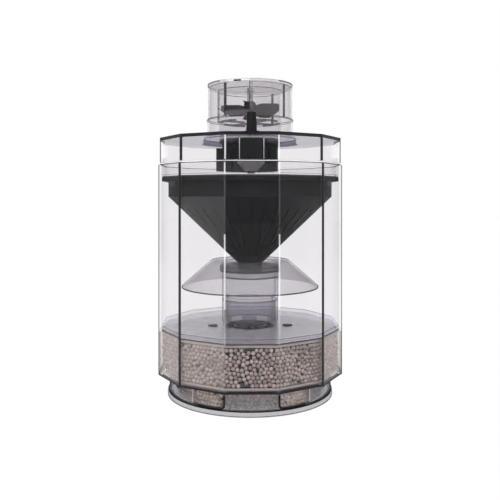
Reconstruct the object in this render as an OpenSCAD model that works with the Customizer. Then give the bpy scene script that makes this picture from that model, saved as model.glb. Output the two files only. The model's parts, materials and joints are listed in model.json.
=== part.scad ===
// Submersible aquarium waste separator with a faceted clear barrel.
// Millimetres, +Z up, origin at the centre of the underside. The front is -Y.

/* [Barrel] */
// Distance from the axis to a corner of the barrel
corner_r = 65; // [63:0.5:68]
// Number of flat sides round the barrel, disc and lid
sides = 12; // [12]
// Thickness of the clear walls
wall = 2; // [1.6:0.1:2.4]
// Height of the barrel floor above the table
floor_z = 15.9; // [15.5:0.1:17]
// Height of the barrel's top edge
barrel_top_z = 158.6; // [157:0.2:160]

/* [Base] */
// Radius of the flat clear rim that the part stands on
rim_r = 57.8; // [57:0.1:60]
// Radius of the round base wall
base_r = 56.5; // [56:0.1:57]
// Number of water windows round the base
windows = 6; // [3:1:6]
// Height of the water windows
window_h = 10.6; // [8:0.2:11]
// How far the barrel twists to unlock, in degrees
lock_turn = 13; // [10:1:13]

/* [Separator] */
// Height of the settling disc's upper face
disc_z = 46.4; // [44:0.2:48]
// Radius of the draw tube
tube_r = 19.8; // [19:0.1:21]
// Lower radius of the umbrella baffle
umbrella_r = 48.2; // [44:0.2:50]
// Upper radius of the umbrella baffle
umbrella_top_r = 27.3; // [26:0.1:29]

/* [Basket] */
// Radius of the basket at its upper ring
basket_r = 57.4; // [56:0.1:57.6]
// Number of slits round the cone
slits = 36; // [24:2:40]
// Width of one slit
slit_w = 1.3; // [0.9:0.1:1.4]

/* [Pump] */
// Radius of the motor can
motor_r = 19.8; // [19:0.1:20.4]
// Radius to the tips of the impeller blades
blade_r = 20.9; // [19:0.1:21]
// Number of impeller blades
blades = 4; // [3:1:4]
// Pitch of the impeller blades, in degrees
blade_pitch = 38; // [25:1:45]

/* [Outlet] */
// Radius of the turning outlet cup
cup_r = 30.3; // [29.5:0.1:31]
// Height of the top of the outlet cup
cup_top_z = 215.8; // [214:0.2:217]

/* [Hidden] */
$fn = 72;

eps = 0.01;                          // overlap where two shapes join
side_turn = 180 / sides;             // turns a flat side to the front
flat = cos(side_turn);               // flat distance as a share of corner distance
gap = 0.3;                           // clearance between bodies
inner_corner_r = corner_r - wall / flat;
loose_corner_r = inner_corner_r - 0.45;

rim_h = 3;
seal_h = 0.6;
base_wall = 2;
base_z = rim_h + seal_h;
base_top_z = floor_z - gap;
floor_h = 2.4;
floor_hole_r = 52;
screen_r = 52.3;
screen_wall = 1.2;
screen_slots = 48;
window_w = 23;
window_z = base_z + 0.6;
lug_z = 11.8;
lug_r = 1.5;
lug_angles = [90, 210, 330];         // midway between the water windows
tab_half = 7;                        // half the angle of a lock tab
tab_r = base_r - base_wall - gap;

media_z = floor_z + floor_h + 0.4;
disc_h = 2.5;
lip_h = 2.7;
lip_w = 1.5;
grille_r = 17.6;
riser_top_z = 64.6;
riser_wall = 1.6;
tube_wall = 1.5;
spigot_r = tube_r - riser_wall - gap;
spigot_z = 50;
baffle_z = 74.4;
baffle_top_z = 92.5;
baffle_wall = 1.5;
collar_z = 84.6;
collar_h = 4;

cone_tip_r = 9.5;
cone_tip_z = 91.1;
spout_z = 84.3;
ring_z = 137.1;
flange_z = 147.5;
flange_h = 2.5;
basket_wall = 1.8;
ledge_w = 1.1;                       // three ledges in the barrel carry the basket's flange
ledge_half = 4;
slit_top_z = 129;
slit_low_z = 96.5;
liner_z = 95;
liner_wall = 1;
basket_seal_h = 0.9;
basket_seal_w = 2.4;

lid_corner_r = corner_r - 1;
lid_z = barrel_top_z + 0.4;
lid_top_z = 177.2;
lid_plate = 2.2;
lid_under_z = lid_top_z - lid_plate;
skirt_z = 151.5;
skirt_wall = 1.6;
lid_step_h = 1.2;
duct_r = 22.9;
duct_wall = 1.3;
duct_top_z = 211.5;
lid_hole_r = duct_r - duct_wall;
clip_angles = [12, 120];             // behind the motor on both sides
clip_arc = 48;
clip_r = 33;
gland_y = -47;
gland_top_z = 190.8;
gland_bore_r = 1.6;
block_y = -50.5;                     // front face of the cable block in front of the motor
block_z = 160.3;
block_half = 6.7;
nozzle_y = -31;

motor_z = 155;
motor_wall = 1.4;
well_r = 8.6;
well_wall = 0.8;
bush_r = 4;
shaft_r = 1;
shaft_fit = 0.04;
shaft_z = 157;
shaft_top_z = 205.2;
rotor_z = 158.8;
rotor_h = 12;
rotor_r = 8;
hub_r = 4.3;
hub_z = 191.5;
hub_top_z = 204.8;
blade_mid_z = 198;
blade_h = 9.6;
screw_r = 1.2;

collar_top_z = 190.7;
cup_z = collar_top_z + gap;
cup_wall = 1.4;
cup_plate = 1.6;
notch_start = -127;                  // the outlet window, as angles round the axis
notch_end = -92;
rib_count = 4;
rib_start = -37;

// A prism with the barrel's sides, from z0 up to z1.
module prism(r, z0, z1) {
  translate([0, 0, z0]) rotate([0, 0, side_turn]) cylinder(h = z1 - z0, r = r, $fn = sides);
}

// A prism with a wall, open at both ends.
module prism_wall(r, w, z0, z1) {
  difference() {
    prism(r, z0, z1);
    prism(r - w / flat, z0 - 1, z1 + 1);
  }
}

// A round tube from z0 up to z1.
module tube(r_out, r_in, z0, z1) {
  difference() {
    translate([0, 0, z0]) cylinder(h = z1 - z0, r = r_out);
    translate([0, 0, z0 - 1]) cylinder(h = z1 - z0 + 2, r = r_in);
  }
}

// A round disc from z0 up to z1.
module disc(r, z0, z1) {
  translate([0, 0, z0]) cylinder(h = z1 - z0, r = r);
}

// A stretch of a round tube between two angles.
module arc_tube(r_out, r_in, z0, z1, from, to) {
  translate([0, 0, z0]) rotate([0, 0, from]) rotate_extrude(angle = to - from)
    translate([r_in, 0]) square([r_out - r_in, z1 - z0]);
}

// Copies evenly spaced round the axis.
module around(count, start = 0) {
  for (k = [0 : count - 1]) rotate([0, 0, start + k * 360 / count]) children();
}

module base_rim() color([0.86, 0.85, 0.87, 0.6]) {
  disc(rim_r, 0, rim_h - 1);
  tube(rim_r, tab_r - 3, rim_h - 1 - eps, rim_h);
}

module base_seal() color([0.08, 0.08, 0.09]) tube(rim_r - 0.5, base_r - base_wall + 0.1, rim_h, base_z);

// The slot lets a lock lug drop in at the unlocked angle and turn to the locked one.
module lock_slot(angle) {
  slot_r = lug_r + gap;
  arc_tube(base_r + 1, tab_r, lug_z - slot_r, lug_z + slot_r, angle - 2.5, angle + lock_turn + 1);
  rotate([0, 0, angle + lock_turn]) translate([tab_r - 1, -slot_r, lug_z - slot_r + 0.4])
    cube([base_r - tab_r + 3, 2 * slot_r, base_top_z - lug_z + slot_r]);
}

module base_ring() color([0.6, 0.59, 0.61, 0.6]) difference() {
  tube(base_r, base_r - base_wall, base_z, base_top_z);
  around(windows) translate([base_r - 6, -window_w / 2, window_z]) cube([12, window_w, window_h]);
  for (a = lug_angles) lock_slot(a);
}

module inlet_screen() color([0.8, 0.79, 0.81, 0.5]) difference() {
  tube(screen_r, screen_r - screen_wall, rim_h, base_top_z);
  around(screen_slots) translate([screen_r - 3, -0.7, base_z + 1]) cube([6, 1.4, 9]);
}

module lower_media() color([0.76, 0.7, 0.66]) disc(screen_r - screen_wall - 0.3, rim_h - 1, base_top_z - 0.6);

module body_wall() color([0.88, 0.87, 0.9, 0.35]) prism_wall(corner_r, wall, floor_z + floor_h, barrel_top_z);

// The floor's ring, with the lock tabs that hang inside the base.
module body_floor() color([0.88, 0.87, 0.9, 0.35]) {
  difference() {
    prism(corner_r, floor_z, floor_z + floor_h - 0.02);
    disc(floor_hole_r, floor_z + 0.8, floor_z + floor_h + 1);
    disc(floor_hole_r - 2, floor_z - 1, floor_z + floor_h);
  }
  for (a = lug_angles) arc_tube(tab_r, tab_r - 1.3, lug_z - 3, floor_z + eps, a - tab_half, a + tab_half);
}

module basket_ledges() color([0.88, 0.87, 0.9, 0.35]) for (a = lug_angles) rotate([0, 0, a])
  translate([inner_corner_r * flat - ledge_w, -ledge_half, flange_z - 3.4])
    cube([ledge_w - 0.02, 2 * ledge_half, 3.2]);

module media_grid() color([0.7, 0.69, 0.71, 0.6]) difference() {
  disc(floor_hole_r - 0.2, floor_z + 0.8, floor_z + floor_h);
  for (ring = [1 : 5]) around(6 * ring) translate([ring * 9.2, 0, floor_z]) cylinder(h = 4, r = 1.1);
}

module ceramic_media() color([0.76, 0.7, 0.66]) prism(loose_corner_r - 0.3, media_z, disc_z - disc_h - 0.5);

module lock_lugs() color([0.08, 0.08, 0.09])
  for (a = lug_angles) rotate([0, 0, a]) translate([tab_r, 0, lug_z]) rotate([0, 90, 0])
    cylinder(h = base_r - tab_r - 0.1, r = lug_r);

// Shallow notches let the disc pass the ledges in the barrel.
module ledge_notches() for (a = lug_angles) rotate([0, 0, a])
  translate([inner_corner_r * flat - ledge_w - 0.4, -ledge_half - 0.5, disc_z - disc_h - 1])
    cube([4, 2 * ledge_half + 1, disc_h + lip_h + 2]);

module settling_disc() color([0.6, 0.59, 0.62, 0.7]) {
  difference() {
    prism(loose_corner_r, disc_z - disc_h, disc_z);
    disc(grille_r + 0.1, disc_z - disc_h - 1, disc_z + 1);
    ledge_notches();
    for (s = [-1, 1]) translate([s * 25.5, -4, disc_z - disc_h - 1]) cylinder(h = 6, r = 1.5);
  }
  difference() {
    prism_wall(loose_corner_r, lip_w, disc_z - eps, disc_z + lip_h);
    ledge_notches();
  }
}

// A fan of raked vanes round a hub, which keeps the balls under the disc.
module disc_grille() color([0.2, 0.19, 0.22]) {
  tube(grille_r, grille_r - 1.4, disc_z - disc_h, disc_z);
  disc(4.5, disc_z - disc_h, disc_z + 2.2);
  around(12) rotate([0, 0, 8]) translate([4, -0.6, disc_z - 1.9]) cube([grille_r - 5, 1.2, 1.9]);
  tube(11.4, 10.2, disc_z - 1.9, disc_z);
}

module disc_clips() color([0.15, 0.14, 0.16]) for (s = [-1, 1]) {
  translate([s * 25.5, -4, disc_z - disc_h + 0.2]) cylinder(h = disc_h - 0.2, r = 1.4);
  translate([s * 25.5, -4, disc_z]) cylinder(h = 0.9, r = 2.6);
  translate([s * 25.5 - (s > 0 ? 0 : 4), -4.6, disc_z]) cube([4, 1.2, 0.9]);
}

module riser() color([0.45, 0.44, 0.47, 0.7]) difference() {
  tube(tube_r, tube_r - riser_wall, disc_z, riser_top_z);
  around(6) translate([tube_r - 4, -5, disc_z - 1]) cube([8, 10, 4.4]);
}

module draw_tube() color([0.6, 0.59, 0.62, 0.7]) {
  tube(tube_r, tube_r - tube_wall, riser_top_z + gap, baffle_top_z - 1.6);
  tube(spigot_r, spigot_r - tube_wall, spigot_z, riser_top_z + gap + 2);
  tube(tube_r - eps, spigot_r - tube_wall, riser_top_z + gap, riser_top_z + gap + 2);
}

module umbrella_baffle() color([0.62, 0.61, 0.64, 0.6]) difference() {
  union() {
    translate([0, 0, baffle_z]) cylinder(h = baffle_top_z - baffle_z, r1 = umbrella_r, r2 = umbrella_top_r);
    disc(umbrella_r, baffle_z - 0.9, baffle_z);
  }
  translate([0, 0, baffle_z - eps]) cylinder(h = baffle_top_z - baffle_z - baffle_wall,
    r1 = umbrella_r - 1.9, r2 = umbrella_top_r - 0.4);
  disc(umbrella_r - 1.9, baffle_z - 2, baffle_z);
  disc(tube_r - tube_wall, baffle_z, baffle_top_z + 1);
}

module tube_collar() color([0.25, 0.24, 0.27, 0.9])
  tube(tube_r + 1.6, tube_r + 0.05, collar_z, collar_z + collar_h);

// Where the cone's outer face lies at a height.
function cone_r(z) = cone_tip_r + (z - cone_tip_z) * (basket_r - cone_tip_r) / (ring_z - cone_tip_z);

module filter_basket() color([0.17, 0.17, 0.18]) difference() {
  union() {
    translate([0, 0, cone_tip_z]) cylinder(h = ring_z - cone_tip_z, r1 = cone_tip_r, r2 = basket_r);
    disc(cone_tip_r - 1, spout_z, cone_tip_z + 1);
  }
  translate([0, 0, cone_tip_z + basket_wall]) cylinder(h = ring_z - cone_tip_z,
    r1 = cone_tip_r - 0.8, r2 = basket_r - 0.8 + basket_wall * 1.04);
  disc(cone_tip_r - 1 - basket_wall, spout_z + 1.4, ring_z);
  around(slits) rotate([90, 0, 0]) linear_extrude(slit_w, center = true) polygon([
    [cone_r(slit_low_z) - 4, slit_low_z], [cone_r(slit_low_z) + 3, slit_low_z],
    [cone_r(slit_top_z) + 3, slit_top_z], [cone_r(slit_top_z) - 4, slit_top_z]]);
}

// Where the liner's outer face lies at a height, just inside the cone.
function liner_r(z) = cone_tip_r - 1.2 + (z - cone_tip_z - basket_wall)
  * (basket_r - cone_tip_r + basket_wall * 1.04) / (ring_z - cone_tip_z);

// A fine dark liner inside the cone, which keeps light and fine waste out of the slits.
module basket_liner() color([0.1, 0.1, 0.11]) difference() {
  translate([0, 0, liner_z])
    cylinder(h = ring_z - liner_z, r1 = liner_r(liner_z), r2 = liner_r(ring_z));
  translate([0, 0, liner_z - 1])
    cylinder(h = ring_z - liner_z + 2, r1 = liner_r(liner_z - 1) - liner_wall,
      r2 = liner_r(ring_z + 1) - liner_wall);
}

module basket_ring() color([0.13, 0.15, 0.14]) {
  tube(basket_r, basket_r - basket_wall, ring_z, flange_z + flange_h);
  difference() {
    prism(loose_corner_r, flange_z, flange_z + flange_h);
    disc(basket_r - basket_wall, flange_z - 1, flange_z + flange_h + 1);
  }
}

module basket_seal() color([0.3, 0.3, 0.31])
  prism_wall(loose_corner_r - 0.2, basket_seal_w, flange_z + flange_h, flange_z + flange_h + basket_seal_h);

module filter_pad() color([0.35, 0.36, 0.38])
  disc(basket_r - basket_wall - 0.4, ring_z + 0.6, flange_z - 0.6);

module lid_plate() color([0.85, 0.84, 0.87, 0.4]) difference() {
  prism(lid_corner_r, lid_under_z, lid_top_z);
  disc(lid_hole_r, lid_under_z - 1, lid_top_z + 1);
  translate([0, gland_y, lid_under_z - 1]) cylinder(h = 5, r = 2.4);
  for (a = clip_angles)
    arc_tube(clip_r + 1.3, clip_r - 0.1, lid_under_z - 1, lid_top_z + 1, a - 1, a + clip_arc + 1);
}

module lid_wall() color([0.85, 0.84, 0.87, 0.4])
  prism_wall(lid_corner_r, wall, lid_z + lid_step_h, lid_under_z);

// The step rests on the barrel, and the skirt locates the lid inside it.
module lid_skirt() color([0.85, 0.84, 0.87, 0.4]) difference() {
  union() {
    prism(loose_corner_r, skirt_z, lid_z + eps);
    prism(lid_corner_r, lid_z, lid_z + lid_step_h);
  }
  prism(loose_corner_r - skirt_wall / flat, skirt_z - 1, lid_z + lid_step_h + 1);
}

module lid_gasket() color([0.06, 0.05, 0.07])
  prism_wall(lid_corner_r - 0.02, 1.36, lid_z - 0.3, lid_z - 0.02);

// Two tongues pass through the lid and hold the outlet collar down.
module collar_clips() color([0.28, 0.22, 0.36]) for (a = clip_angles) {
  arc_tube(clip_r + 1.2, clip_r, lid_under_z - 0.6, lid_top_z + 0.8, a, a + clip_arc);
  arc_tube(clip_r + 2.2, clip_r - 0.8, lid_under_z - 0.8, lid_under_z - 0.05, a, a + clip_arc);
}

module motor_housing() color([0.1, 0.1, 0.11]) {
  difference() {
    disc(motor_r, motor_z, lid_under_z - 1);
    disc(motor_r - motor_wall, motor_z + 1.5, lid_under_z - 3);
    disc(bush_r + 0.05, motor_z + 5, lid_under_z + 1);
  }
  difference() {
    tube(well_r + well_wall, well_r, motor_z + 1.4, lid_under_z - 2.9);
    disc(bush_r + 0.05, motor_z + 5, lid_under_z + 1);
  }
  around(4, 45) translate([motor_r - 1.2, -2.5, motor_z + 2]) cube([3.2, 5, lid_under_z - motor_z - 5]);
  translate([-motor_r - 4, -5, motor_z]) cube([5.2, 10, 16]);
  difference() {
    translate([-block_half, block_y, block_z])
      cube([2 * block_half, -block_y - motor_r + 1.2, lid_under_z - 1 - block_z]);
    translate([0, gland_y, block_z + 3]) cylinder(h = 20, r = gland_bore_r + 0.1);
  }
}

module motor_bracket() color([0.8, 0.79, 0.82, 0.5]) difference() {
  union() {
    tube(lid_hole_r - 0.1, lid_hole_r - 1.6, lid_under_z - 0.9, lid_top_z);
    disc(7.5, lid_under_z - 0.9, lid_top_z - 0.6);
    around(4, 45) translate([6, -2.2, lid_under_z - 0.9]) cube([lid_hole_r - 7, 4.4, 2.2]);
    for (s = [-1, 1]) translate([s * (block_half + 1) - 0.4, block_y, block_z])
      cube([0.8, -block_y - 18.7, lid_under_z - block_z - 0.1]);
  }
  disc(bush_r + 0.2, lid_under_z - 2, lid_top_z + 1);
  around(4, 45) translate([13.5, 0, lid_under_z - 2]) cylinder(h = 6, r = screw_r + 0.1);
}

module bracket_screws() color([0.7, 0.7, 0.72]) around(4, 45) translate([13.5, 0, lid_under_z - 0.9])  {
  cylinder(h = 2.2, r = screw_r);
  difference() {
    translate([0, 0, 2.2]) cylinder(h = 1, r = 2);
    translate([-2, -0.3, 2.7]) cube([4, 0.6, 1]);
    translate([-0.3, -2, 2.7]) cube([0.6, 4, 1]);
  }
}

module stator_coil() color([0.72, 0.42, 0.2]) tube(motor_r - motor_wall - 0.4, well_r + well_wall + 0.3,
  motor_z + 3, lid_under_z - 4.5);

module lower_bush() color([0.85, 0.83, 0.78]) difference() {
  disc(bush_r, motor_z + 1.5, rotor_z - 0.3);
  disc(shaft_r + shaft_fit, shaft_z - 0.1, rotor_z + 1);
}

module upper_bush() color([0.85, 0.83, 0.78])
  tube(bush_r, shaft_r + shaft_fit, lid_under_z - 3, lid_top_z - 0.2);

// A clear funnel under the cable block; water reaches the motor's front through it.
module intake_nozzle() color([0.7, 0.69, 0.72, 0.6]) translate([0, nozzle_y, 0]) difference() {
  union() {
    translate([0, 0, block_z - 6.4]) cylinder(h = 5.2, r1 = 4.2, r2 = 9);
    disc(9, block_z - 1.2, block_z - 0.1);
  }
  translate([0, 0, block_z - 5]) cylinder(h = 3.8, r1 = 3.6, r2 = 7.4);
  disc(7.4, block_z - 1.2 - eps, block_z + 1);
  disc(2.1, block_z - 8, block_z);
}

module nozzle_pin() color([0.08, 0.08, 0.09]) translate([0, nozzle_y, 0]) {
  disc(2, block_z - 7, block_z - 0.1);
  disc(2.5, block_z - 8, block_z - 7 + eps);
}

module outlet_collar() color([0.85, 0.84, 0.87, 0.45]) {
  tube(cup_r + 0.6, cup_r - 0.9, lid_top_z, collar_top_z);
  tube(cup_r + 2.2, cup_r - 0.9, lid_top_z, lid_top_z + 1.6);
}

module propeller_duct() color([0.85, 0.84, 0.87, 0.45]) tube(duct_r, lid_hole_r, lid_top_z, duct_top_z);

// Broken black arcs under the impeller straighten the flow.
module duct_grille() color([0.12, 0.11, 0.13]) for (k = [0 : 3]) {
  arc_tube(lid_hole_r - 0.1, lid_hole_r - 1.7, 188.6, 190, 99 + 90 * k, 151 + 90 * k);
  rotate([0, 0, 125 + 90 * k]) translate([hub_r + 0.5, -0.5, 188.6]) cube([lid_hole_r - hub_r - 1.7, 1, 1.4]);
}

module cable_gland() color([0.09, 0.09, 0.1]) translate([0, gland_y, lid_top_z]) difference() {
  union() {
    cylinder(h = 1.4, r = 5.2);
    translate([0, 0, 1.4]) cylinder(h = gland_top_z - lid_top_z - 1.4, r1 = 3.5, r2 = 2.8);
  }
  translate([0, 0, -1]) cylinder(h = 20, r = gland_bore_r);
}

module outlet_cup() color([0.88, 0.87, 0.9, 0.4]) difference() {
  union() {
    tube(cup_r, cup_r - cup_wall, cup_z, cup_top_z);
    disc(cup_r - 0.5, cup_top_z - cup_plate, cup_top_z - 0.2);
    disc(3.4, cup_top_z - 5, cup_top_z - 0.5);
    around(rib_count, rib_start - 90) translate([cup_r - cup_wall - 1.2, -0.6, cup_z])
      cube([1.8, 1.2, cup_top_z - cup_z - 1]);
  }
  disc(2.1, cup_top_z - 12, cup_top_z - cup_plate);
  arc_tube(cup_r + 1, duct_r + 0.6, cup_z + 4, cup_top_z + 1, notch_start + 1, notch_end);
}

module cup_bearing() color([0.62, 0.61, 0.64, 0.8])
  disc(2, shaft_top_z + 0.4, cup_top_z - cup_plate - eps);

// One blade, a pitched plate trimmed to the blade circle.
module blade() intersection() {
  translate([0, 0, blade_mid_z]) rotate([-blade_pitch, 0, 0])
    translate([0, -7.5, -0.8]) cube([blade_r + 2, 15, 1.6]);
  tube(blade_r, hub_r - 0.6, blade_mid_z - blade_h / 2, blade_mid_z + blade_h / 2);
}

module impeller() color([0.3, 0.29, 0.31]) difference() {
  union() {
    disc(hub_r, hub_z, hub_top_z - 1.6);
    translate([0, 0, hub_top_z - 1.6]) cylinder(h = 1.6, r1 = hub_r, r2 = hub_r - 1.4);
    around(blades) blade();
  }
  disc(shaft_r, hub_z - 1, hub_top_z + 1);
}

module impeller_shaft() color([0.88, 0.87, 0.84]) disc(shaft_r, shaft_z, shaft_top_z);

module magnet_rotor() color([0.2, 0.2, 0.21]) tube(rotor_r, shaft_r, rotor_z, rotor_z + rotor_h);

base_rim();
base_seal();
base_ring();
inlet_screen();
lower_media();
body_wall();
body_floor();
basket_ledges();
media_grid();
ceramic_media();
lock_lugs();
settling_disc();
disc_grille();
disc_clips();
riser();
draw_tube();
umbrella_baffle();
tube_collar();
filter_basket();
basket_liner();
basket_ring();
basket_seal();
filter_pad();
lid_plate();
lid_wall();
lid_skirt();
lid_gasket();
collar_clips();
motor_housing();
motor_bracket();
bracket_screws();
stator_coil();
lower_bush();
upper_bush();
intake_nozzle();
nozzle_pin();
outlet_collar();
propeller_duct();
duct_grille();
cable_gland();
outlet_cup();
cup_bearing();
impeller();
impeller_shaft();
magnet_rotor();
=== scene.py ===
"""Looks of a submersible aquarium skimmer filter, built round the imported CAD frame."""
import json
import math
import random

import bmesh
import bpy
from mathutils import Matrix, Vector
from mathutils.kdtree import KDTree


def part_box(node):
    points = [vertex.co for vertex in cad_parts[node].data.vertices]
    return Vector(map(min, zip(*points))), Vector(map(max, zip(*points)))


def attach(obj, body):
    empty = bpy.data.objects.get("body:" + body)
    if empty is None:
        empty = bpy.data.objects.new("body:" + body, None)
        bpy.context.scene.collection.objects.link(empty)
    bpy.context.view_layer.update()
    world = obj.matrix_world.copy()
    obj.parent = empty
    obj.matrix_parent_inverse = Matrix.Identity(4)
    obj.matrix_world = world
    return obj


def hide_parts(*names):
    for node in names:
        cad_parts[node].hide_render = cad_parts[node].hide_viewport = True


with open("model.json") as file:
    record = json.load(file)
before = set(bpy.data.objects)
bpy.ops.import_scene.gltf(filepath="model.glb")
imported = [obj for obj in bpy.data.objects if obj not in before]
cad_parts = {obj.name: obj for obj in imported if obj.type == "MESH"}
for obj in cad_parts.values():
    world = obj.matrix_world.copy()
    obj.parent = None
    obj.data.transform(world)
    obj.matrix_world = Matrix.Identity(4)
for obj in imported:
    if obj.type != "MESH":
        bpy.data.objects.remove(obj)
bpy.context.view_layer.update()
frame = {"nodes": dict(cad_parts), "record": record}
nodes = frame["nodes"]
MM = 0.001
SIDES = 12
FLAT = math.cos(math.pi / SIDES)

# ---------------------------------------------------------------- camera and studio

EYE_DISTANCE = 0.455            # from the part's axis
EYE_HEIGHT = 0.1368             # above the table
EYE_TURN = math.radians(-1.2)   # round the axis, from straight in front
LENS = 46.2                     # focal length in millimetres
HORIZON_SHIFT = -0.106
FLOOR_GREY = 0.45
WORLD_FILL = 0.45               # strength of the light from all round


def add_camera():
    cam = bpy.data.objects.new("camera", bpy.data.cameras.new("camera"))
    bpy.context.scene.collection.objects.link(cam)
    cam.data.lens = LENS
    cam.data.shift_y = HORIZON_SHIFT
    cam.data.clip_start = 0.01
    cam.location = (
        EYE_DISTANCE * math.sin(EYE_TURN),
        -EYE_DISTANCE * math.cos(EYE_TURN),
        EYE_HEIGHT,
    )
    cam.rotation_euler = (math.pi / 2, 0, EYE_TURN)
    bpy.context.scene.camera = cam


def add_softbox(name, place, aim, size, power, mirrored=True):
    lamp = bpy.data.lights.new(name, "AREA")
    lamp.shape = "RECTANGLE"
    lamp.size, lamp.size_y = size
    lamp.energy = power
    obj = bpy.data.objects.new(name, lamp)
    obj.location = place
    obj.rotation_euler = (Vector(aim) - Vector(place)).to_track_quat("-Z", "Y").to_euler()
    obj.visible_camera = False
    obj.visible_glossy = mirrored
    bpy.context.scene.collection.objects.link(obj)


def add_world():
    world = bpy.data.worlds.new("studio")
    world.use_nodes = True
    bpy.context.scene.world = world
    tree = world.node_tree
    tree.nodes.clear()
    out = tree.nodes.new("ShaderNodeOutputWorld")
    mix = tree.nodes.new("ShaderNodeMixShader")
    path = tree.nodes.new("ShaderNodeLightPath")
    seen = tree.nodes.new("ShaderNodeBackground")
    seen.inputs["Color"].default_value = (1, 1, 1, 1)
    seen.inputs["Strength"].default_value = 1.0
    fill = tree.nodes.new("ShaderNodeBackground")
    coords = tree.nodes.new("ShaderNodeTexCoord")
    split = tree.nodes.new("ShaderNodeSeparateXYZ")
    ramp = tree.nodes.new("ShaderNodeValToRGB")
    ramp.color_ramp.elements[0].position = 0.0
    ramp.color_ramp.elements[0].color = (0.05, 0.05, 0.055, 1)
    ramp.color_ramp.elements[1].position = 0.42
    ramp.color_ramp.elements[1].color = (1, 1, 1, 1)
    place = tree.nodes.new("ShaderNodeMapRange")
    place.inputs["From Min"].default_value = -1
    tree.links.new(coords.outputs["Generated"], split.inputs[0])
    tree.links.new(split.outputs["Y"], place.inputs["Value"])
    tree.links.new(place.outputs["Result"], ramp.inputs["Fac"])
    tree.links.new(ramp.outputs["Color"], fill.inputs["Color"])
    fill.inputs["Strength"].default_value = WORLD_FILL
    tree.links.new(path.outputs["Is Camera Ray"], mix.inputs["Fac"])
    tree.links.new(fill.outputs[0], mix.inputs[1])
    tree.links.new(seen.outputs[0], mix.inputs[2])
    tree.links.new(mix.outputs[0], out.inputs["Surface"])


def add_floor():
    bm = bmesh.new()
    bmesh.ops.create_grid(bm, x_segments=1, y_segments=1, size=3)
    mesh = bpy.data.meshes.new("floor")
    bm.to_mesh(mesh)
    bm.free()
    floor = bpy.data.objects.new("floor", mesh)
    floor.location.z = -0.0002
    bpy.context.scene.collection.objects.link(floor)
    mat = bpy.data.materials.new("pale_floor")
    mat.use_nodes = True
    tree = mat.node_tree
    shader = tree.nodes["Principled BSDF"]
    shader.inputs["Roughness"].default_value = 0.8
    shader.inputs["Specular IOR Level"].default_value = 0.05
    shader.inputs["Emission Color"].default_value = (1, 1, 1, 1)
    path = tree.nodes.new("ShaderNodeLightPath")
    seen = path.outputs["Is Camera Ray"]
    tree.links.new(add_range(tree, seen, FLOOR_GREY, 0.0), shader.inputs["Base Color"])
    tree.links.new(add_range(tree, seen, 0.0, 1.0), shader.inputs["Emission Strength"])
    mesh.materials.append(mat)


def add_studio():
    add_world()
    add_floor()
    add_softbox("left_box", (-0.55, -0.5, 0.75), (0, 0, 0.11), (0.7, 0.5), 5.5)
    add_softbox("right_box", (0.8, -0.35, 0.7), (0, 0, 0.11), (0.6, 0.5), 2.5)
    add_softbox("front_box", (0.1, -0.7, 0.8), (0, 0, 0.08), (0.8, 0.4), 3.5)
    add_softbox("low_box", (0.0, -0.7, 0.16), (0, 0, 0.02), (0.7, 0.2), 1.7, mirrored=False)
    add_softbox("top_box", (0.1, -0.1, 0.95), (0, 0, 0.1), (0.8, 0.8), 4)
    add_softbox("back_box", (0.0, 0.9, 0.5), (0, 0, 0.1), (0.9, 0.6), 3)


def set_film():
    scene = bpy.context.scene
    scene.view_settings.view_transform = "Standard"
    scene.view_settings.look = "None"
    scene.cycles.max_bounces = 24
    scene.cycles.transparent_max_bounces = 64
    scene.cycles.diffuse_bounces = 4
    scene.cycles.glossy_bounces = 6
    scene.cycles.use_denoising = True
    scene.cycles.sample_clamp_indirect = 6


# ---------------------------------------------------------------- materials


def new_tree(name):
    mat = bpy.data.materials.new(name)
    mat.use_nodes = True
    tree = mat.node_tree
    return mat, tree, tree.nodes["Principled BSDF"]


def add_noise(tree, scale, detail=4.0, stretch=(1, 1, 1)):
    """Noise in the object's own coordinates, in cells per metre."""
    coords = tree.nodes.new("ShaderNodeTexCoord")
    mapping = tree.nodes.new("ShaderNodeMapping")
    mapping.inputs["Scale"].default_value = stretch
    noise = tree.nodes.new("ShaderNodeTexNoise")
    noise.inputs["Scale"].default_value = scale
    noise.inputs["Detail"].default_value = detail
    tree.links.new(coords.outputs["Object"], mapping.inputs["Vector"])
    tree.links.new(mapping.outputs["Vector"], noise.inputs["Vector"])
    return noise.outputs["Fac"]


def add_range(tree, value, low, high):
    node = tree.nodes.new("ShaderNodeMapRange")
    node.inputs["To Min"].default_value = low
    node.inputs["To Max"].default_value = high
    tree.links.new(value, node.inputs["Value"])
    return node.outputs["Result"]


def add_colours(tree, value, dark, light, low=0.3, high=0.7):
    ramp = tree.nodes.new("ShaderNodeValToRGB")
    ramp.color_ramp.elements[0].position = low
    ramp.color_ramp.elements[0].color = (*dark, 1)
    ramp.color_ramp.elements[1].position = high
    ramp.color_ramp.elements[1].color = (*light, 1)
    tree.links.new(value, ramp.inputs["Fac"])
    return ramp.outputs["Color"]


def add_bump(tree, shader, height, strength, distance):
    bump = tree.nodes.new("ShaderNodeBump")
    bump.inputs["Strength"].default_value = strength
    bump.inputs["Distance"].default_value = distance
    tree.links.new(height, bump.inputs["Height"])
    tree.links.new(bump.outputs["Normal"], shader.inputs["Normal"])


def solid_plastic(name, dark, light, rough, grain=900, bump=0.15, sheen=0.3):
    """Moulded plastic or rubber: fine grain, cloudy colour and uneven gloss."""
    mat, tree, shader = new_tree(name)
    cloud = add_noise(tree, grain * 0.12, 3)
    fine = add_noise(tree, grain, 5)
    tree.links.new(add_colours(tree, cloud, dark, light), shader.inputs["Base Color"])
    tree.links.new(add_range(tree, cloud, rough - 0.06, rough + 0.08), shader.inputs["Roughness"])
    shader.inputs["Specular IOR Level"].default_value = sheen
    add_bump(tree, shader, fine, bump, 0.0001)
    return mat


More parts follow.
